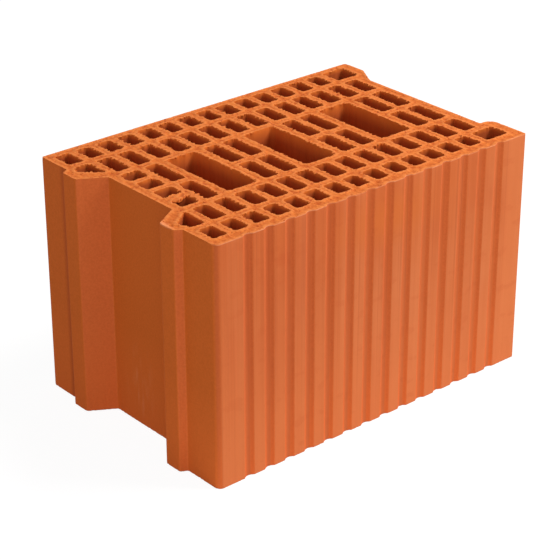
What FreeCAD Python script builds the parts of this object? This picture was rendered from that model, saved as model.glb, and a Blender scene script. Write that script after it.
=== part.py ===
import FreeCAD, Part
import math
import os

os.makedirs("parts", exist_ok=True)

# Overall size in millimetres, the length between the two end planes and without the tongues.
block_length = 375.0
block_width = 250.0
block_height = 238.0

# Grooves that key the plaster on the front face, between plain bands at least this wide.
plain_band = 24.0
groove_pitch = 23.4
groove_mouth = 11.0
groove_depth = 2.4
groove_flank_angle = 37.0
groove_shoulder_radius = 0.8

# Rows of holes from the front face to the back face; the two middle rows share what the others leave.
front_wall = 12.5
first_row_depth = 21.5
second_row_depth = 29.5
fifth_row_depth = 32.5
sixth_row_depth = 24.0
back_wall = 8.0
row_web = 8.0
middle_row_offset = 1.0

# Columns of holes in the two outer rows on either side of the middle rows.
column_pitch = 23.4
hole_width = 15.6
end_wall = 8.3
ear_wall = 11.5
recess_wall = 8.0

# Middle rows, from the mortar pocket to the recess: grips with narrow holes between them.
pocket_wall = 9.2
pocket_hole_width = 20.2
pocket_hole_count = 4
pocket_hole_web = 7.0
first_grip_width = 34.0
grip_width = 37.4
grip_web = 9.3
pair_web = 7.0

# Tongues on the left end, with the mortar pocket between them.
tongue_projection = 7.0
tongue_face = 19.0
tongue_outer_run = 4.0
tongue_inner_run = 15.5
pocket_depth = 18.5
pocket_front_margin = 2.0
pocket_back_margin = 3.0

# Slanted holes that run out into the two tongues.
tongue_wall = 10.5
front_tip = 13.0
back_tip = 9.0
back_slant = 27.0

# Recess on the right end, between two ears, which takes the tongues of the next block.
recess_depth = 14.0
front_ear_shoulder = 12.0
back_ear_lip = 5.0
back_ear_run = 25.0

# Corner roundings, and the cut corners of the small holes.
near_corner_radius = 6.0
far_corner_radius = 4.0
sharp_radius = 1.5
ear_radius = 10.0
ear_flank_radius = 6.0
tongue_radius = 2.5
inner_radius = 2.0
grip_radius = 5.0
hole_corner_cut = 1.8


def rounded_wire(corners):
    """Closed wire through (x, y, radius) corners, with an arc of that radius at each."""
    arcs = []
    for i, (x, y, radius) in enumerate(corners):
        corner = FreeCAD.Vector(x, y, 0)
        before = FreeCAD.Vector(*corners[i - 1][:2], 0) - corner
        after = FreeCAD.Vector(*corners[(i + 1) % len(corners)][:2], 0) - corner
        before.normalize()
        after.normalize()
        inward = before + after
        inward.normalize()
        half = before.getAngle(after) / 2
        run = radius / math.tan(half)
        middle = corner + inward * (radius / math.sin(half) - radius)
        arcs.append(Part.Arc(corner + before * run, middle, corner + after * run))
    edges = []
    for arc, following in zip(arcs, arcs[1:] + arcs[:1]):
        edges.append(arc.toShape())
        edges.append(Part.LineSegment(arc.EndPoint, following.StartPoint).toShape())
    return Part.Wire(edges)


def cut_corner_wire(points, cut):
    """Closed wire through (x, y) points, with each corner cut off evenly along both its edges."""
    corners = [FreeCAD.Vector(x, y, 0) for x, y in points]
    path = []
    for i, corner in enumerate(corners):
        for neighbour in (corners[i - 1], corners[(i + 1) % len(corners)]):
            along = neighbour - corner
            along.normalize()
            path.append(corner + along * cut)
    return Part.makePolygon(path + path[:1])


def copies(length, pitch, width):
    """How many things of this width fit in a length at a pitch."""
    return int((length - width) / pitch) + 1


def row_places():
    """Front and back edge of each of the six rows."""
    front = front_wall + first_row_depth + row_web + second_row_depth + row_web
    back = block_width - back_wall - sixth_row_depth - row_web - fifth_row_depth - row_web
    half = (back - front - row_web) / 2
    places = []
    y = front_wall
    for depth in (first_row_depth, second_row_depth, half - middle_row_offset,
                  half + middle_row_offset, fifth_row_depth, sixth_row_depth):
        places.append((y, y + depth))
        y += depth + row_web
    return places


def front_face():
    """Corners along the front face, left to right; each groove is a V whose point is rounded to its depth."""
    corners = [(0, 0, near_corner_radius)]
    count = copies(block_length - 2 * plain_band, groove_pitch, groove_mouth)
    first = block_length / 2 - groove_pitch * (count - 1) / 2
    angle = math.radians(groove_flank_angle)
    point = groove_mouth / 2 * math.tan(angle)
    point_radius = (point - groove_depth) / (1 / math.cos(angle) - 1)
    for i in range(count):
        x = first + i * groove_pitch
        corners.append((x - groove_mouth / 2, 0, groove_shoulder_radius))
        corners.append((x, point, point_radius))
        corners.append((x + groove_mouth / 2, 0, groove_shoulder_radius))
    corners.append((block_length, 0, sharp_radius))
    return corners


def recess_end(first_row, sixth_row):
    """Corners up the right end, front to back; each ear holds the last hole of its outer row."""
    floor = block_length - recess_depth
    front = first_row[1] + front_ear_shoulder
    back = sixth_row[0] + back_ear_lip
    return [(block_length, front, ear_radius),
            (floor, front, inner_radius),
            (floor, back - back_ear_run, inner_radius),
            (block_length, back, ear_flank_radius),
            (block_length, block_width, far_corner_radius)]


def tongue(edge, outward):
    """Corners of one tongue, from the end plane to the pocket, whose floor stops at edge."""
    inner = edge + outward * tongue_inner_run
    outer = inner + outward * tongue_face
    return [(0, outer + outward * tongue_outer_run, inner_radius),
            (-tongue_projection, outer, tongue_radius),
            (-tongue_projection, inner, tongue_radius),
            (pocket_depth, edge, inner_radius)]


def tongue_end(middle_front, middle_back):
    """Corners down the left end, back to front: a tongue on either side of the mortar pocket."""
    back_tongue = tongue(middle_back + pocket_back_margin, 1)
    front_tongue = tongue(middle_front + pocket_front_margin, -1)
    return [(0, block_width, sharp_radius)] + back_tongue + front_tongue[::-1]


def rectangle(x, y, width, depth):
    return [(x, y), (x + width, y), (x + width, y + depth), (x, y + depth)]


def small_hole(x, width, row):
    front, back = row
    return cut_corner_wire(rectangle(x, front, width, back - front), hole_corner_cut)


def outer_row(row):
    """Row with a hole in each column, the last one wider to fill the ear."""
    end = block_length - ear_wall
    last = end_wall + column_pitch * (copies(end - end_wall, column_pitch, column_pitch) - 1)
    holes = [small_hole(last, end - last, row)]
    x = end_wall
    while x < last - hole_width:
        holes.append(small_hole(x, hole_width, row))
        x += column_pitch
    return holes


def tongue_row(row):
    """Row behind a tongue, from the second column to the recess."""
    end = block_length - recess_depth - recess_wall
    holes = []
    for i in range(1, copies(end - end_wall, column_pitch, hole_width)):
        holes.append(small_hole(end_wall + i * column_pitch, hole_width, row))
    return holes


def slanted_hole(flat, tip, far):
    """Hole in a tongue: straight along flat, out to the tip and back along the slant to far."""
    right = end_wall + hole_width
    reach = tongue_wall - tongue_projection
    return cut_corner_wire([(end_wall, flat), (right, flat), (right, far), (reach, tip)], hole_corner_cut)


def pocket_holes(front, back):
    """Column of small holes behind the mortar pocket."""
    size = (back - front - pocket_hole_web * (pocket_hole_count - 1)) / pocket_hole_count
    x = pocket_depth + pocket_wall
    holes = []
    for i in range(pocket_hole_count):
        y = front + i * (size + pocket_hole_web)
        holes.append(small_hole(x, pocket_hole_width, (y, y + size)))
    return holes


def paired_holes(x, count, third_row, fourth_row):
    """Columns of holes in both middle rows."""
    holes = []
    for i in range(count):
        place = x + i * (hole_width + pair_web)
        holes.append(small_hole(place, hole_width, third_row))
        holes.append(small_hole(place, hole_width, fourth_row))
    return holes


def grip(x, width, front, back):
    corners = rectangle(x, front, width, back - front)
    return rounded_wire([(x, y, grip_radius) for x, y in corners])


def middle_rows(third_row, fourth_row):
    """One column and the first grip, then pairs of columns with a grip after each while they fit."""
    front, back = third_row[0], fourth_row[1]
    end = block_length - recess_depth - recess_wall
    pair_pitch = hole_width + pair_web
    x = pocket_depth + pocket_wall + pocket_hole_width + pair_web
    holes = pocket_holes(front, back) + paired_holes(x, 1, third_row, fourth_row)
    x += hole_width + grip_web
    holes.append(grip(x, first_grip_width, front, back))
    x += first_grip_width + grip_web
    pair = pair_pitch + hole_width
    module = pair + grip_web + grip_width + grip_web
    while x + module + pair <= end:
        holes += paired_holes(x, 2, third_row, fourth_row)
        holes.append(grip(x + pair + grip_web, grip_width, front, back))
        x += module
    return holes + paired_holes(x, copies(end - x, pair_pitch, hole_width), third_row, fourth_row)


def clay_block():
    first, second, third, fourth, fifth, sixth = row_places()
    holes = outer_row(first) + tongue_row(second) + middle_rows(third, fourth)
    holes += tongue_row(fifth) + outer_row(sixth)
    holes.append(slanted_hole(second[0], second[0] + front_tip, second[1]))
    holes.append(slanted_hole(fifth[1], fifth[1] - back_tip, fifth[1] - back_slant))
    outline = rounded_wire(front_face() + recess_end(first, sixth) + tongue_end(third[0], fourth[1]))
    section = Part.makeFace([outline] + holes, "Part::FaceMakerBullseye")
    block = section.extrude(FreeCAD.Vector(0, 0, block_height))
    block.translate(FreeCAD.Vector((tongue_projection - block_length) / 2, -block_width / 2, 0))
    return block


clay_block().exportStep("parts/clay_block.step")
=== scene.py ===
import math
import random

import bpy
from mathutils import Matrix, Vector, kdtree, noise
from mathutils.geometry import delaunay_2d_cdt


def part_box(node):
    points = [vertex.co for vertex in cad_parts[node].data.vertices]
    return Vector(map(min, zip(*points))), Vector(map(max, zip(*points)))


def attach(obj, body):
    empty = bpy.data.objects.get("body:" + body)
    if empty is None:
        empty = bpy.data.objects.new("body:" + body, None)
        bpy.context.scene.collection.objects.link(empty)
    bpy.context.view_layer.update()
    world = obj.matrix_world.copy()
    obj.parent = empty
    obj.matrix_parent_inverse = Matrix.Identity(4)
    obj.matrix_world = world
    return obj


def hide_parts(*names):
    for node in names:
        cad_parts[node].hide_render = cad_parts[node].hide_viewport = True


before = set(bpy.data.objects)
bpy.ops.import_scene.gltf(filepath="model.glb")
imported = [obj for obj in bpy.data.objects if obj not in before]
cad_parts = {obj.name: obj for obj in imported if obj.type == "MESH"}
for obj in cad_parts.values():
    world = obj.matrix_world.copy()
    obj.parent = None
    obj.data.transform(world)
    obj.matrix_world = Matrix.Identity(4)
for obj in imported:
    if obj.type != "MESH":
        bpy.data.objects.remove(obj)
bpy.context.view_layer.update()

MM = 0.001
random.seed(11)
block_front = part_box("clay_block")[0].y / MM
block_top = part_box("clay_block")[1].z / MM
half_height = block_top / 2

# Material numbers of the faces, in the order in which the mesh gets its materials.
CUT, EXTRUDED, SMALL_BORE, GRIP_BORE = range(4)

# The sizes below are in millimetres, where their comment names no other unit.

# Holes with a larger section than this, in square millimetres, are grips.
grip_area = 1500.0

# Points along the outlines. A sharper turn of the outline than corner_turn stays a corner, and a sharper
# turn between two faces than sharp_turn shows as an edge.
flat_tolerance = 0.01
corner_turn = math.radians(20)
thinning_share = 0.35
outer_step = 0.9
hole_step = 1.25
hole_softening = 0.5
softening_rounds = 2
outer_band_height = 40.0
sharp_turn = math.radians(38)

# Points across the cut faces. The rows' distance, the points' random shift and their room beside the lips
# are shares of the step, and the room between a lip and another rim is a share of the lip's inset.
top_step = 1.35
bottom_step = 2.8
row_share = 0.87
point_shift = 0.22
lip_clearance = 0.7
web_clearance = 0.55
weld_distance = 1e-6

# Wire-cut faces: the lip beside each rim, the hollow between the lips, drag lines, waves, grains and pits;
# a bump's size is its width along X and Y.
arris_drop = 0.38
lip_inset = 1.1
cut_level = 0.2
web_sag = 0.6
sag_reach = 3.0
drag_depth = 0.22
drag_size = (2.2, 26.0)
wave_depth = 0.2
wave_size = (15.0, 10.0)
grain_depth = 0.5
grain_size = (2.3, 2.3)
pit_count = 800
pit_radii = (0.9, 2.1)
pit_depths = (0.3, 1.3)
top_seed = 1.0
bottom_seed = 5.0

# Layers of the noise, so that each kind of mark has its own pattern.
wander_layer = 2.0
wave_layer = 3.0
chip_layer = 7.0
grain_layer = 9.0

# Ragged rims of the holes: how far the clay that the wire dragged stands out, in teeth, patches and waves,
# and the share of it on the walls that face along Y.
top_rag = 3.7
bottom_rag = 1.6
side_share = 0.6
patch_size = 23.0
even_share = 0.35
patchy_share = 0.75
tooth_level = 0.3
hole_wander = 1.1
wander_size = 4.5
deepest_bite = 1.2

# The rims are more ragged in the middle rows than in front of the calm line, with a gradual change.
middle_share = 1.15
front_share = 0.7
calm_line = -45.0
calm_reach = 30.0

# Chips out of the outer rim.
outer_chip = 0.55
chip_size = 2.6
chip_level = 0.1
wear_share = 0.15
chip_share = 1.9
tooth_share = 0.35

# Room that a rim point has to move: a share of the step, over the turn of the outline near it. The points
# beside an outline's first one get a room of their own.
room_share = 0.4
least_turn = 0.03
seam_room = 0.4

# Depth of each ring below the cut face, with the share of the raggedness that is left there. A point that
# stands out droops by a share of that, and depths and reaches are scattered by these factors.
top_levels = ((arris_drop, 1.0), (1.0, 0.75), (2.3, 0.35), (4.6, 0.0))
bottom_levels = ((arris_drop, 1.0), (2.6, 0.0))
droop_share = 0.25
drop_scatter = (0.9, 1.1)
reach_scatter = (0.75, 1.0)

# Faint lines that the die drew down the outer faces, fainter behind the front zone.
die_line = 0.1
faint_die_line = 0.025
die_line_width = 1.9
die_line_length = 160.0
front_zone = 4.0

# Lump of dragged clay on the web between two of the holes behind the mortar pocket.
lump_place = (-148.0, -25.0)
lump_reach = 12.0
lump_half_web = 3.0
lump_spill = 5.5
lump_back_share = 0.6
lump_slump = 3.0
lump_roughness = 1.5
slump_scatter = (0.6, 1.0)

# Marks: the place of each, its reach along X, Y and Z, and its strength, which holds up to the core's share
# of the reach.
mark_core = 0.2
top_scratch = ((27.5, 46.0, block_top), (1.3, 48.0, 4.0), 0.8)
worn_tip = ((-191.0, -63.0, block_top), (8.0, 16.0, 2.0), 0.5)
orange_patch = ((15.0, block_front, 205.0), (80.0, 20.0, 36.0), 0.6)
stained_patch = ((-116.0, block_front, 204.0), (42.0, 20.0, 26.0), 1.0)
# Painted shadow of the back tongue, a dark line down the left end.
back_tongue_shadow = ((-184.0, 92.0, half_height), (4.0, 6.0, 900.0), 0.6)
pocket_scuff = ((-165.5, 11.0, 40.0), (20.0, 24.0, 50.0), 1.0)

# Depths below the cut faces between which painted light brightens the walls of the holes over painted shade
# deeper in, and a painted highlight pales the cut clay's lips.
# Painted light reaches deeper into the wide grips than into the small holes.
small_bore_lit_depths = (5.0, 0.5)
grip_bore_lit_depths = (14.0, 0.5)
lip_highlight_depths = (1.1, 0.2)

# Where the tones of the outer faces change: depths behind the front face, and places along X and Z.
rib_depths = (0.15, 0.6)
# Between the next two depths, painted shade darkens the grooves.
groove_shade_depths = (0.05, 0.7)
behind_groove_depths = (2.6, 4.0)
# Depths behind the front face of the painted highlight along the front arris.
front_highlight_depths = (3.0, 6.0)
front_span = (-190.0, 190.0)
right_band_edge = (160.0, 172.0)
bloom_heights = (140.0, 225.0)
pale_heights = (0.0, 170.0)
# Heights of the painted bounce light on the foot of the slopes and ends.
foot_bounce_heights = (0.0, 100.0)
# Heights of the painted highlight along the front arris.
arris_highlight_heights = (block_top - 1.5, block_top - 0.8)

# Colours of the cut clay, as linear red, green and blue.
cut_dark = (0.44, 0.078, 0.010, 1)
cut_pale = (0.67, 0.172, 0.030, 1)
cut_cloud = (0.63, 0.150, 0.024, 1)
# Painted highlight on the raised lips.
lip_highlight = (0.70, 0.205, 0.048, 1)
drag_dark = (0.48, 0.085, 0.012, 1)
speck_red = (0.36, 0.040, 0.006, 1)
scratch_red = (0.30, 0.035, 0.006, 1)
chalky = (0.86, 0.34, 0.16, 1)

# Colours of the extruded skin.
skin_dark = (0.470, 0.091, 0.018, 1)
skin_pale = (0.550, 0.114, 0.024, 1)
skin_right = (0.600, 0.134, 0.028, 1)
bloom_pink = (0.560, 0.157, 0.052, 1)
cloud_dark = (0.48, 0.088, 0.020, 1)
streak_pale = (0.64, 0.185, 0.064, 1)
streak_dark = (0.47, 0.088, 0.018, 1)
# Painted shade in the grooves over their redder clay, also the colour of the fine die lines.
groove_shade_and_line_dark = (0.42, 0.075, 0.018, 1)
band_pale = (0.66, 0.180, 0.055, 1)
low_pale = (0.675, 0.176, 0.051, 1)
orange = (0.575, 0.125, 0.018, 1)
stain_dark = (0.46, 0.074, 0.014, 1)
slope_dark = (0.58, 0.116, 0.024, 1)
slope_pale = (0.64, 0.136, 0.030, 1)
# Browner ends: the colour of shaded clay, painted on the faces along X.
shaded_end_dark = (0.49, 0.095, 0.008, 1)
shaded_end_pale = (0.54, 0.108, 0.011, 1)
# Painted bounce light on the foot of the slopes and ends.
foot_bounce_light = (0.84, 0.165, 0.030, 1)
# Painted shadow beside the back tongue.
tongue_shadow_dark = (0.34, 0.055, 0.008, 1)
scuff_pale = (0.66, 0.22, 0.09, 1)
# Painted highlight along the front arris.
arris_highlight = (0.78, 0.30, 0.14, 1)

# Colours of the holes' walls: painted shade deep inside and painted light near the cut faces.
shaded_wall_dark = (0.41, 0.073, 0.013, 1)
shaded_wall_pale = (0.47, 0.088, 0.017, 1)
lit_wall_dark = (0.70, 0.152, 0.018, 1)
lit_wall_pale = (0.77, 0.180, 0.025, 1)

# Finish of the clay.
clay_specular = 0.2
cut_roughness = 0.95
skin_roughness = 0.85

# Studio: a level is how brightly a lamp lights a facing white surface at the block; sizes are in metres.
lamp_distance = 2.8
key_towards = (0.45, -0.34, 0.78)
key_level = 1.22
key_width = 1.2
fill_towards = (-0.78, -0.60, 0.20)
fill_level = 0.38
fill_width = 2.2
ambient_level = 0.27
floor_reach = 3.0
floor_grey = 0.74
floor_glow = 1.1
openness_reach = 0.3

# Camera at the photograph's viewing angle, in degrees, metres and millimetres of lens.
camera_azimuth = -40.85
camera_elevation = 26.48
camera_lens = 125.4
camera_sensor = 36.0
camera_place = (-1.0914, -1.2560, 0.9285)


def smooth(value):
    """0 to 1, with a gentle start and end."""
    value = min(max(value, 0.0), 1.0)
    return value * value * (3.0 - 2.0 * value)


def bumps(x, y, wide, deep, layer):
    """Smooth noise from -1 to 1, with bumps of this size in millimetres; each layer has its own pattern."""
    return noise.noise(Vector((x / wide, y / deep, layer)))


# Outlines of the block's section

def section_loops(mesh, height):
    """Closed outlines of the flat face at this height, in millimetres, with the clay on their left."""
    points = {}
    edges = set()
    for polygon in mesh.polygons:
        corners = [mesh.vertices[i].co for i in polygon.vertices]
        if any(abs(corner.z - height) > flat_tolerance * MM for corner in corners):
            continue
        keys = []
        for corner in corners:
            key = (round(corner.x / MM, 2), round(corner.y / MM, 2))
            points[key] = Vector((corner.x / MM, corner.y / MM))
            keys.append(key)
        for a, b in zip(keys, keys[1:] + keys[:1]):
            if (b, a) in edges:
                edges.remove((b, a))
            else:
                edges.add((a, b))
    following = dict(sorted(edges))
    loops = []
    while following:
        key = min(following)
        loop = []
        while key in following:
            loop.append(points[key])
            key = following.pop(key)
        loops.append(loop)
    loops.sort(key=lambda loop: -abs(loop_area(loop)))
    return loops


def loop_area(loop):
    return sum(a.cross(b) for a, b in zip(loop, loop[1:] + loop[:1])) / 2


def with_neighbours(loop):
    """Each point of a closed outline, with the one before it and the one after it."""
    return zip(loop[-1:] + loop[:-1], loop, loop[1:] + loop[:1])


def even_loop(loop, step):
    """The same outline with its corners kept, close points thinned and long runs divided."""
    kept = []
    for before, point, after in with_neighbours(loop):
        is_corner = abs((point - before).angle_signed(after - point)) > corner_turn
        if is_corner or not kept or (point - kept[-1]).length > thinning_share * step:
            kept.append(point)
    even = []
    for a, b in zip(kept, kept[1:] + kept[:1]):
        parts = max(1, math.ceil((b - a).length / step))
        for k in range(parts):
            even.append(a.lerp(b, k / parts))
    return even


def softened(loop):
    """The same outline with its corners rounded off a little."""
    for _ in range(softening_rounds):
        loop = [point.lerp((before + after) / 2, hole_softening)
                for before, point, after in with_neighbours(loop)]
    return loop


def air_sides(loop):
    """Unit vector from the clay to the air at each point of an outline."""
    sides = []
    for before, _, after in with_neighbours(loop):
        along = (after - before).normalized()
        sides.append(Vector((along.y, -along.x)))
    return sides


def wall_kind(loop, is_outer):
    """Material number of the walls under an outline."""
    if is_outer:
        return EXTRUDED
    return GRIP_BORE if abs(loop_area(loop)) > grip_area else SMALL_BORE


# Wear and wire marks

def lump_share(point):
    """1 in the middle of the lump, falling to 0 at its edge."""
    away = [(a - b) / lump_reach for a, b in zip(point, lump_place)]
    return smooth(1.0 - math.hypot(*away))


def lump_push(point):
    """The lump spreads from the middle of its web into the holes on both sides."""
    across = (point.y - lump_place[1]) / lump_half_web
    return Vector((0.0, lump_spill * lump_share(point) * max(-1.0, min(across, lump_back_share))))


def free_room(loop):
    """How far each rim point can move sideways before its neighbours' ways cross its own."""
    turns = [abs((point - before).angle_signed(after - point))
             for before, point, after in with_neighbours(loop)]
    rooms = [seam_room] * len(turns)
    for i in range(2, len(turns) - 2):
        rooms[i] = room_share * hole_step / max(least_turn, *turns[i - 2:i + 3])
    return rooms


def chip_offset(point, tooth):
    """The outer rim only loses clay."""
    chip = max(0.0, bumps(point.x, point.y, chip_size, chip_size, chip_layer) - chip_level)
    return -outer_chip * (wear_share + chip_share * chip + tooth_share * tooth)


def dragged_offset(point, side, tooth, reach, room):
    """How far the rim of a hole stands out into it, or in from it where clay was torn away."""
    patch = 0.5 + bumps(point.x, point.y, patch_size, patch_size, reach)
    share = side_share + (1.0 - side_share) * abs(side.x)
    calm = smooth((calm_line - point.y) / calm_reach)
    share *= middle_share + (front_share - middle_share) * calm
    offset = reach * share * (even_share + patchy_share * patch) * (tooth - tooth_level)
    offset += hole_wander * bumps(point.x, point.y, wander_size, wander_size, wander_layer)
    return max(-deepest_bite, min(offset, room))


def ragged_offsets(loop, sides, is_outer, reach):
    """How far each rim point stands out into the air."""
    offsets = []
    for point, side, room in zip(loop, sides, free_room(loop)):
        tooth = random.random() ** 2
        if is_outer:
            offsets.append(chip_offset(point, tooth))
        else:
            offsets.append(dragged_offset(point, side, tooth, reach, room))
    return offsets


def die_mark(point, z):
    """Depth of the die's lines at a point of an outer face."""
    depth = die_line if point.y < block_front + front_zone else faint_die_line
    lines = bumps(point.x, point.y, die_line_width, die_line_width, z / die_line_length)
    return depth * max(0.0, 0.5 + lines)


def cut_depth(x, y, lip_distance, seed):
    """How far a point of the wire-cut face lies below its highest lips."""
    lump = lump_share((x, y)) if seed == top_seed else 0.0
    sag = web_sag * smooth(lip_distance / sag_reach) * (1.0 - lump)
    drag = drag_depth * bumps(x, y, *drag_size, seed)
    wave = wave_depth * bumps(x, y, *wave_size, seed + wave_layer)
    grains = (grain_depth + lump_roughness * lump) * bumps(x, y, *grain_size, seed + grain_layer)
    return max(0.0, cut_level + sag + drag + wave + grains)


def dig_pits(coords, depth, low, high):
    """Pulled-out grains: small pits pressed into the points of a cut face."""
    tree = flat_tree([(i, coords[i]) for i in sorted(depth)])
    for _ in range(pit_count):
        place = (random.uniform(low[0], high[0]), random.uniform(low[1], high[1]), 0.0)
        radius = random.uniform(*pit_radii)
        deep = random.uniform(*pit_depths)
        for _, i, distance in tree.find_range(place, radius):
            depth[i] += deep * (1.0 - (distance / radius) ** 2)


# Points and triangles of the cut faces

def flat_tree(numbered_points):
    """Search tree of points in the section's plane."""
    tree = kdtree.KDTree(len(numbered_points))
    for number, point in numbered_points:
        tree.insert((point.x, point.y, 0.0), number)
    tree.balance()
    return tree


def rim_distance(rims, x, y):
    return rims.find((x, y, 0.0))[2]


def lip_points(loops, rims):
    """Points along the lips, left out where another rim is too near."""
    points = []
    for loop in loops:
        for point, side in zip(loop, air_sides(loop)):
            inset = point - side * lip_inset
            if rim_distance(rims, inset.x, inset.y) > lip_clearance * lip_inset:
                points.append(inset)
    return points


def web_points(rims, low, high, step):
    """Staggered rows of points over the whole box, left out near the rims and their lips."""
    clear = lip_inset + web_clearance * step
    points = []
    for row in range(int((high[1] - low[1]) / (row_share * step))):
        for column in range(int((high[0] - low[0]) / step)):
            x = low[0] + (column + 0.5 * (row % 2) + random.uniform(-point_shift, point_shift)) * step
            y = low[1] + (row + random.uniform(-point_shift, point_shift)) * row_share * step
            if rim_distance(rims, x, y) > clear:
                points.append(Vector((x, y)))
    return points


def clay_triangles(coords, rim_edges):
    """Triangles between the points on the clay's side of the rims."""
    points, _, faces, sources, _, _ = delaunay_2d_cdt(coords, rim_edges, [], 0, weld_distance, True)
    if len(points) != len(coords):
        raise RuntimeError("an outline crosses itself")
    triangles = [tuple(sources[i][0] for i in face) for face in faces]
    return [triangles[number] for number in sorted(on_left_of(triangles, rim_edges))]


def on_left_of(triangles, rim_edges):
    """Numbers of the triangles reached from the left side of the rims without crossing one."""
    owner = {}
    for number, (a, b, c) in enumerate(triangles):
        for edge in ((a, b), (b, c), (c, a)):
            owner[edge] = number
    barrier = set(rim_edges)
    waiting = [owner[edge] for edge in rim_edges]
    reached = set(waiting)
    while waiting:
        a, b, c = triangles[waiting.pop()]
        for edge in ((a, b), (b, c), (c, a)):
            other = owner.get(edge[::-1])
            if edge not in barrier and other is not None and other not in reached:
                reached.add(other)
                waiting.append(other)
    return reached


class Shell:
    """Vertices in millimetres and faces with a material number, gathered for one mesh."""

    def __init__(self):
        self.points = []
        self.faces = []
        self.kinds = []

    def ring(self, loop, heights):
        """Numbers of the new points of one ring."""
        start = len(self.points)
        self.points += [(point.x, point.y, z) for point, z in zip(loop, heights)]
        return list(range(start, len(self.points)))

    def band(self, upper, lower, kind):
        """Faces between two rings of as many points."""
        for i in range(len(upper)):
            j = (i + 1) % len(upper)
            self.faces.append((upper[i], lower[i], lower[j], upper[j]))
            self.kinds.append(kind)

    def cap(self, rings, step, height, seed, faces_up):
        """Closes the section between the rim rings with a rough wire-cut face."""
        loops = [[Vector(self.points[index][:2]) for index in ring] for ring in rings]
        coords = []
        rim_edges = []
        for loop in loops:
            start = len(coords)
            coords += loop
            rim_edges += [(start + k, start + (k + 1) % len(loop)) for k in range(len(loop))]
        rim_count = len(coords)
        rims = flat_tree(list(enumerate(coords)))
        low = [min(point[k] for point in coords) for k in range(2)]
        high = [max(point[k] for point in coords) for k in range(2)]
        coords += lip_points(loops, rims) + web_points(rims, low, high, step)
        triangles = clay_triangles(coords, rim_edges)
        depth = {}
        for i in sorted({i for triangle in triangles for i in triangle if i >= rim_count}):
            x, y = coords[i]
            depth[i] = cut_depth(x, y, rim_distance(rims, x, y) - lip_inset, seed)
        dig_pits(coords, depth, low, high)
        down = -1.0 if faces_up else 1.0
        numbers = dict(enumerate(index for ring in rings for index in ring))
        for i in sorted(depth):
            numbers[i] = len(self.points)
            self.points.append((coords[i].x, coords[i].y, height + down * depth[i]))
        for triangle in triangles:
            corners = tuple(numbers[i] for i in triangle)
            self.faces.append(corners if faces_up else corners[::-1])
            self.kinds.append(CUT)


def rim_rings(shell, loop, sides, offsets, levels, surface, inward):
    """Rings of one rim from the cut face into the block, the raggedness fading as they go."""
    rings = []
    for depth, share in levels:
        places = []
        heights = []
        for point, side, offset in zip(loop, sides, offsets):
            drop = depth * random.uniform(*drop_scatter) + droop_share * max(0.0, offset) * share
            place = point + side * offset * share * random.uniform(*reach_scatter)
            if inward < 0:
                place += lump_push(point) * share
                drop += lump_slump * lump_share(point) * random.uniform(*slump_scatter)
            places.append(place)
            heights.append(surface + inward * drop)
        rings.append(shell.ring(places, heights))
    return rings


def lined_rings(shell, loop, sides, height):
    """Rings down the outer faces, pressed in where the die drew its lines."""
    rings = []
    bands = int(height / outer_band_height)
    for k in range(1, bands):
        z = height * (1 - k / bands)
        places = [point - side * die_mark(point, z) for point, side in zip(loop, sides)]
        rings.append(shell.ring(places, [z] * len(loop)))
    return rings


def block_shell(loops, height):
    """The block: outlines carried down the walls, with ragged rims and a rough cut face at each end."""
    shell = Shell()
    top_rings = []
    bottom_rings = []
    for number, outline in enumerate(loops):
        is_outer = number == 0
        loop = even_loop(outline, outer_step) if is_outer else softened(even_loop(outline, hole_step))
        sides = air_sides(loop)
        upper = ragged_offsets(loop, sides, is_outer, top_rag)
        lower = ragged_offsets(loop, sides, is_outer, bottom_rag)
        rings = rim_rings(shell, loop, sides, upper, top_levels, height, -1.0)
        top_rings.append(rings[0])
        if is_outer:
            rings += lined_rings(shell, loop, sides, height)
        foot = rim_rings(shell, loop, sides, lower, bottom_levels, 0.0, 1.0)
        bottom_rings.append(foot[0])
        rings += foot[::-1]
        for upper_ring, lower_ring in zip(rings, rings[1:]):
            shell.band(upper_ring, lower_ring, wall_kind(outline, is_outer))
    shell.cap(top_rings, top_step, height, top_seed, True)
    shell.cap(bottom_rings, bottom_step, 0.0, bottom_seed, False)
    return shell


# Nodes that the materials share

def new_material(name):
    """Material with its node tree and its shader."""
    material = bpy.data.materials.new(name)
    material.use_nodes = True
    tree = material.node_tree
    return material, tree, tree.nodes["Principled BSDF"]


def add(tree, kind, inputs=None, **settings):
    """New node, with each input linked to a socket or set to a value."""
    node = tree.nodes.new(kind)
    for key, value in settings.items():
        setattr(node, key, value)
    for key, value in (inputs or {}).items():
        if isinstance(value, bpy.types.NodeSocket):
            tree.links.new(value, node.inputs[key])
        else:
            node.inputs[key].default_value = value
    return node


def maths(tree, operation, a, b=0.0):
    return add(tree, "ShaderNodeMath", {0: a, 1: b}, operation=operation).outputs[0]


def product(tree, a, b):
    return maths(tree, "MULTIPLY", a, b)


def mixed(tree, share, a, b):
    """Colour a, with this share of colour b."""
    return add(tree, "ShaderNodeMix", {0: share, 6: a, 7: b}, data_type="RGBA").outputs[2]


def ranged(tree, value, low, high, to_low=0.0, to_high=1.0):
    """A value moved from one range to another, and held inside it."""
    inputs = {"Value": value, "From Min": low, "From Max": high, "To Min": to_low, "To Max": to_high}
    return add(tree, "ShaderNodeMapRange", inputs).outputs["Result"]


def coordinates(tree, kind="Object"):
    return add(tree, "ShaderNodeTexCoord").outputs[kind]


def part_of(tree, vector, axis):
    return add(tree, "ShaderNodeSeparateXYZ", {"Vector": vector}).outputs[axis]


def grain(tree, scale, size=1.0, detail=3.0, roughness=0.55):
    """Noise with about scale times size grains to the metre along each axis."""
    vector = add(tree, "ShaderNodeMapping", {"Vector": coordinates(tree), "Scale": scale}).outputs["Vector"]
    inputs = {"Vector": vector, "Scale": size, "Detail": detail, "Roughness": roughness}
    return add(tree, "ShaderNodeTexNoise", inputs).outputs["Fac"]


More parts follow.
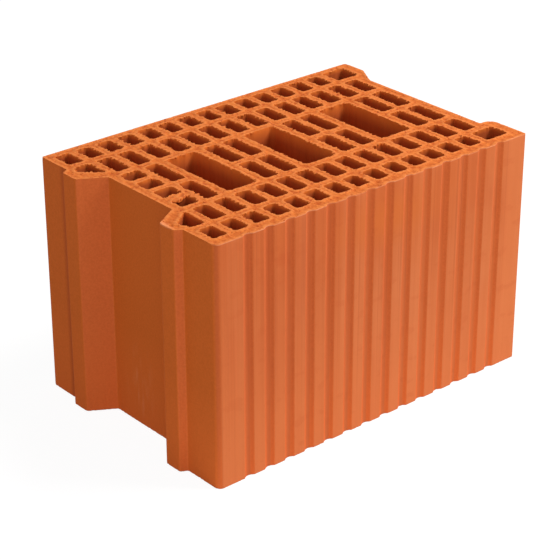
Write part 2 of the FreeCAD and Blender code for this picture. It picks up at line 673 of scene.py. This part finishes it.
def ramp(tree, axis, places, first=0.0, last=1.0):
    """Value that changes from first to last between two places along an axis, in millimetres."""
    start, end = places
    return ranged(tree, part_of(tree, coordinates(tree), axis), start * MM, end * MM, first, last)


def behind_front(tree, depths, first=0.0, last=1.0):
    """Value that changes from first to last between two depths behind the front face."""
    start, end = depths
    return ramp(tree, "Y", (block_front + start, block_front + end), first, last)


def near_cut_faces(tree, depths):
    """0 at the first depth below the nearer cut face and 1 at the second."""
    start, end = depths
    from_middle = maths(tree, "SUBTRACT", part_of(tree, coordinates(tree), "Z"), half_height * MM)
    from_middle = maths(tree, "ABSOLUTE", from_middle)
    return ranged(tree, from_middle, (half_height - start) * MM, (half_height - end) * MM)


def near_mark(tree, mark):
    """A mark's strength at its core, falling to 0 at its reach along each axis."""
    place, reach, strength = mark
    scale = [1.0 / (r * MM) for r in reach]
    shift = [-p / r for p, r in zip(place, reach)]
    inputs = {"Vector": coordinates(tree), "Scale": scale, "Location": shift}
    where = add(tree, "ShaderNodeMapping", inputs).outputs["Vector"]
    distance = add(tree, "ShaderNodeVectorMath", {0: where}, operation="LENGTH").outputs["Value"]
    return ranged(tree, distance, mark_core, 1.0, strength, 0.0)


def relief(tree, shader, *layers):
    """Bumps laid over each other, each with its height, strength and depth in millimetres."""
    normal = None
    for height, strength, depth in layers:
        inputs = {"Height": height, "Strength": strength, "Distance": depth * MM}
        if normal is not None:
            inputs["Normal"] = normal
        normal = add(tree, "ShaderNodeBump", inputs).outputs["Normal"]
    tree.links.new(normal, shader.inputs["Normal"])


def matt(tree, shader, colour, roughness):
    tree.links.new(colour, shader.inputs["Base Color"])
    shader.inputs["Roughness"].default_value = roughness
    shader.inputs["Specular IOR Level"].default_value = clay_specular


# Clay

def chalky_tip(tree, colour):
    """Paler clay on the worn arris of the front tongue."""
    return mixed(tree, near_mark(tree, worn_tip), colour, chalky)


def cut_clay():
    """Wire-cut clay: lips paled by a painted highlight over darker hollows, pits, mottle, drag lines and
    red specks.
    """
    material, tree, shader = new_material("cut_clay")
    lip_highlight_share = near_cut_faces(tree, lip_highlight_depths)
    drag = grain(tree, (560.0, 45.0, 300.0), detail=4.0)
    mottle = grain(tree, (1.0, 0.6, 1.0), 210.0, 4.0, 0.65)
    cloud = grain(tree, (1.0, 1.0, 1.0), 28.0)
    speck = grain(tree, (1.0, 1.0, 1.0), 330.0, 2.0)
    colour = mixed(tree, ranged(tree, mottle, 0.38, 0.62), cut_dark, cut_pale)
    colour = mixed(tree, ranged(tree, cloud, 0.35, 0.7, 0.0, 0.35), colour, cut_cloud)
    # Painted highlight: the raised lips paler than the hollows.
    colour = mixed(tree, ranged(tree, lip_highlight_share, 0.3, 0.9, 0.0, 0.8), colour, lip_highlight)
    colour = mixed(tree, ranged(tree, drag, 0.48, 0.72, 0.0, 0.5), colour, drag_dark)
    colour = mixed(tree, ranged(tree, speck, 0.62, 0.67, 0.0, 0.7), colour, speck_red)
    colour = mixed(tree, near_mark(tree, top_scratch), colour, scratch_red)
    matt(tree, shader, chalky_tip(tree, colour), cut_roughness)
    relief(tree, shader, (drag, 0.8, 0.8), (mottle, 0.7, 1.0), (speck, 0.5, 0.5))
    return material


def die_lines(tree):
    """Narrow lines that run down the outer faces."""
    return grain(tree, (430.0, 430.0, 4.0), detail=4.0)


def skin_grain(tree):
    """Grain of the outer faces."""
    return grain(tree, (1.0, 1.0, 1.0), 520.0, 2.0)


def stains(tree):
    """Slow blots on the outer faces."""
    return grain(tree, (1.0, 1.0, 1.7), 40.0)


def front_bloom(tree):
    """Share of the pinker bloom on the ribs: more to the right, in slow clouds, none in the grooves."""
    on_ribs = behind_front(tree, rib_depths, 1.0, 0.0)
    share = product(tree, on_ribs, ramp(tree, "X", front_span, 0.35, 1.0))
    share = product(tree, share, ramp(tree, "Z", bloom_heights, 1.0, 0.4))
    cloud = grain(tree, (1.0, 1.0, 0.4), 19.0, 4.0)
    return product(tree, share, ranged(tree, cloud, 0.35, 0.62, 0.4, 1.0))


def groove_shade_share(tree):
    """Share of the grooves' darker colour, painted shade over their redder clay, less of it to the right.
    """
    share = behind_front(tree, groove_shade_depths)
    share = product(tree, share, behind_front(tree, behind_groove_depths, 1.0, 0.0))
    return product(tree, share, ramp(tree, "X", front_span, 0.42, 0.12))


def die_streaks(tree, colour):
    """Streaks that run the height of the skin: tones a rib wide, paler and darker, and fine dark lines."""
    tone = grain(tree, (62.0, 62.0, 1.5), detail=2.0)
    colour = mixed(tree, ranged(tree, tone, 0.34, 0.48, 0.28, 0.0), colour, streak_pale)
    colour = mixed(tree, ranged(tree, tone, 0.50, 0.64, 0.0, 0.28), colour, streak_dark)
    line = grain(tree, (360.0, 360.0, 2.0), detail=2.0)
    # Fine dark die lines, in the colour also used for the grooves' painted shade.
    return mixed(tree, ranged(tree, line, 0.58, 0.66, 0.0, 0.4), colour, groove_shade_and_line_dark)


def front_skin(tree):
    """Front and back faces: lines, clouds and streaks, pinker on the ribs, paler low down and far right."""
    colour = mixed(tree, ranged(tree, die_lines(tree), 0.3, 0.7), skin_dark, skin_pale)
    colour = mixed(tree, ramp(tree, "X", front_span, 0.0, 0.6), colour, skin_right)
    colour = mixed(tree, front_bloom(tree), colour, bloom_pink)
    cloud = grain(tree, (1.0, 1.0, 0.45), 27.0, 2.0)
    colour = mixed(tree, ranged(tree, cloud, 0.48, 0.66, 0.0, 0.35), colour, cloud_dark)
    colour = die_streaks(tree, colour)
    colour = mixed(tree, ramp(tree, "X", right_band_edge, 0.0, 0.5), colour, band_pale)
    colour = mixed(tree, ramp(tree, "Z", pale_heights, 0.7, 0.0), colour, low_pale)
    colour = mixed(tree, near_mark(tree, orange_patch), colour, orange)
    stain = stains(tree)
    spots = product(tree, near_mark(tree, stained_patch), ranged(tree, stain, 0.45, 0.55, 0.0, 0.32))
    colour = mixed(tree, spots, colour, stain_dark)
    return mixed(tree, ranged(tree, stain, 0.58, 0.64, 0.0, 0.15), colour, stain_dark)


def end_skin(tree, colour):
    """Slopes and ends over the front's colour: redder slopes, painted shade in the grooves and on the
    browner ends, and painted bounce light on a paler foot.
    """
    fine = ranged(tree, skin_grain(tree), 0.35, 0.65)
    faces_end = maths(tree, "ABSOLUTE", part_of(tree, coordinates(tree, "Normal"), "X"))
    slope = mixed(tree, fine, slope_dark, slope_pale)
    colour = mixed(tree, ranged(tree, faces_end, 0.2, 0.4, 0.0, 0.9), colour, slope)
    # Painted shade in the grooves.
    colour = mixed(tree, groove_shade_share(tree), colour, groove_shade_and_line_dark)
    # Painted shade: the faces along X take the browner colour of shaded clay.
    end = mixed(tree, fine, shaded_end_dark, shaded_end_pale)
    colour = mixed(tree, ranged(tree, faces_end, 0.75, 0.98), colour, end)
    # Painted bounce light: slopes and ends paler towards the floor.
    foot = ramp(tree, "Z", foot_bounce_heights, 0.42, 0.0)
    foot = product(tree, foot, ranged(tree, faces_end, 0.2, 0.4))
    return mixed(tree, foot, colour, foot_bounce_light)


def skin_marks(tree, colour):
    """Painted shadow in a dark line at the foot of the back tongue, scuff in the mortar pocket, painted
    highlight on a paler arris along the front.
    """
    # Painted shadow beside the foot of the back tongue.
    colour = mixed(tree, near_mark(tree, back_tongue_shadow), colour, tongue_shadow_dark)
    streaks = grain(tree, (210.0, 210.0, 40.0), detail=4.0)
    scuff = product(tree, near_mark(tree, pocket_scuff), ranged(tree, streaks, 0.48, 0.66, 0.0, 0.3))
    colour = mixed(tree, scuff, colour, scuff_pale)
    # Painted highlight along the front arris, broken up by the stains.
    arris = ramp(tree, "Z", arris_highlight_heights)
    arris = product(tree, arris, behind_front(tree, front_highlight_depths, 1.0, 0.0))
    arris = product(tree, arris, ranged(tree, stains(tree), 0.35, 0.6, 0.1, 0.85))
    return chalky_tip(tree, mixed(tree, arris, colour, arris_highlight))


def extruded_clay():
    """Smooth extruded skin of the outer faces."""
    material, tree, shader = new_material("extruded_clay")
    matt(tree, shader, skin_marks(tree, end_skin(tree, front_skin(tree))), skin_roughness)
    relief(tree, shader, (die_lines(tree), 0.2, 0.3), (skin_grain(tree), 0.25, 0.1))
    return material


def bore_clay(name, lit_wall_depths):
    """Walls of holes: painted light near the cut faces, and painted shade, browner and darker, deep inside.
    """
    material, tree, shader = new_material(name)
    lines = grain(tree, (300.0, 300.0, 7.0))
    cloud = grain(tree, (1.0, 1.0, 0.6), 60.0)
    # Painted shade deep inside the holes.
    deep = mixed(tree, ranged(tree, lines, 0.3, 0.7), shaded_wall_dark, shaded_wall_pale)
    # Painted light near the cut faces.
    bright = mixed(tree, ranged(tree, cloud, 0.35, 0.7), lit_wall_dark, lit_wall_pale)
    colour = mixed(tree, near_cut_faces(tree, lit_wall_depths), deep, bright)
    matt(tree, shader, colour, cut_roughness)
    relief(tree, shader, (lines, 0.3, 0.4))
    return material


def clay_block():
    """The fired block, which stands for the node of the same name."""
    loops = section_loops(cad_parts["clay_block"].data, block_top * MM)
    shell = block_shell(loops, block_top)
    mesh = bpy.data.meshes.new("fired_clay_block")
    mesh.from_pydata([tuple(c * MM for c in point) for point in shell.points], [], shell.faces)
    mesh.polygons.foreach_set("material_index", shell.kinds)
    mesh.polygons.foreach_set("use_smooth", [True] * len(shell.faces))
    mesh.set_sharp_from_angle(angle=sharp_turn)
    mesh.materials.append(cut_clay())
    mesh.materials.append(extruded_clay())
    mesh.materials.append(bore_clay("small_bore", small_bore_lit_depths))
    mesh.materials.append(bore_clay("grip_bore", grip_bore_lit_depths))
    piece = bpy.data.objects.new("fired_clay_block", mesh)
    bpy.context.scene.collection.objects.link(piece)
    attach(piece, "root")
    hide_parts("clay_block")
    print("triangles", sum(len(face) - 2 for face in shell.faces))


# Stage, lights and camera

def seen_directly(tree):
    """1 for rays from the camera, or by gloss or glass, and 0 for light."""
    paths = add(tree, "ShaderNodeLightPath")
    seen = maths(tree, "MAXIMUM", paths.outputs["Is Camera Ray"], paths.outputs["Is Glossy Ray"])
    return maths(tree, "MAXIMUM", seen, paths.outputs["Is Transmission Ray"])


def white_floor():
    """White that keeps shadows and also shines where it is seen, except deep inside the holes."""
    material, tree, shader = new_material("studio_floor")
    shader.inputs["Base Color"].default_value = (floor_grey, floor_grey, floor_grey, 1)
    shader.inputs["Roughness"].default_value = 1.0
    shader.inputs["Specular IOR Level"].default_value = 0.0
    glow = add(tree, "ShaderNodeEmission", {"Strength": floor_glow})
    openness = add(tree, "ShaderNodeAmbientOcclusion", {"Distance": openness_reach}).outputs["AO"]
    share = product(tree, seen_directly(tree), ranged(tree, openness, 0.05, 0.2, 0.0, 0.85))
    both = add(tree, "ShaderNodeMixShader", {0: share, 1: shader.outputs[0], 2: glow.outputs[0]})
    tree.links.new(both.outputs[0], tree.nodes["Material Output"].inputs["Surface"])
    return material


def studio_floor():
    """White floor that keeps the object's shadow."""
    mesh = bpy.data.meshes.new("studio_floor")
    corners = [(x * floor_reach, y * floor_reach, 0) for x, y in ((-1, -1), (1, -1), (1, 1), (-1, 1))]
    mesh.from_pydata(corners, [], [(0, 1, 2, 3)])
    mesh.materials.append(white_floor())
    floor = bpy.data.objects.new("studio_floor", mesh)
    bpy.context.scene.collection.objects.link(floor)


def studio_world():
    """Even light from all around, with plain white behind the object."""
    world = bpy.data.worlds.new("studio")
    bpy.context.scene.world = world
    world.use_nodes = True
    tree = world.node_tree
    ambient = tree.nodes["Background"]
    ambient.inputs["Color"].default_value = (1.0, 1.0, 1.0, 1)
    ambient.inputs["Strength"].default_value = ambient_level
    white = add(tree, "ShaderNodeBackground", {"Color": (1, 1, 1, 1), "Strength": 1.0})
    layers = {0: seen_directly(tree), 1: ambient.outputs[0], 2: white.outputs[0]}
    both = add(tree, "ShaderNodeMixShader", layers)
    tree.links.new(both.outputs[0], tree.nodes["World Output"].inputs["Surface"])


def studio_lamp(name, towards, level, width):
    """Soft square lamp that faces the middle of the block."""
    lamp = bpy.data.lights.new(name, "AREA")
    lamp.shape = "SQUARE"
    lamp.size = width
    lamp.energy = level * (math.pi * lamp_distance) ** 2
    place = Vector(towards).normalized()
    holder = bpy.data.objects.new(name, lamp)
    holder.location = Vector((0, 0, half_height * MM)) + place * lamp_distance
    holder.rotation_euler = place.to_track_quat("Z", "Y").to_euler()
    bpy.context.scene.collection.objects.link(holder)


def photo_camera():
    data = bpy.data.cameras.new("camera")
    data.lens = camera_lens
    data.sensor_width = camera_sensor
    camera = bpy.data.objects.new("camera", data)
    camera.location = camera_place
    camera.rotation_euler = (math.radians(90.0 - camera_elevation), 0.0, math.radians(camera_azimuth))
    bpy.context.scene.collection.objects.link(camera)
    bpy.context.scene.camera = camera


clay_block()
studio_floor()
studio_world()
studio_lamp("key", key_towards, key_level, key_width)
studio_lamp("fill", fill_towards, fill_level, fill_width)
photo_camera()
bpy.context.scene.view_settings.view_transform = "Standard"
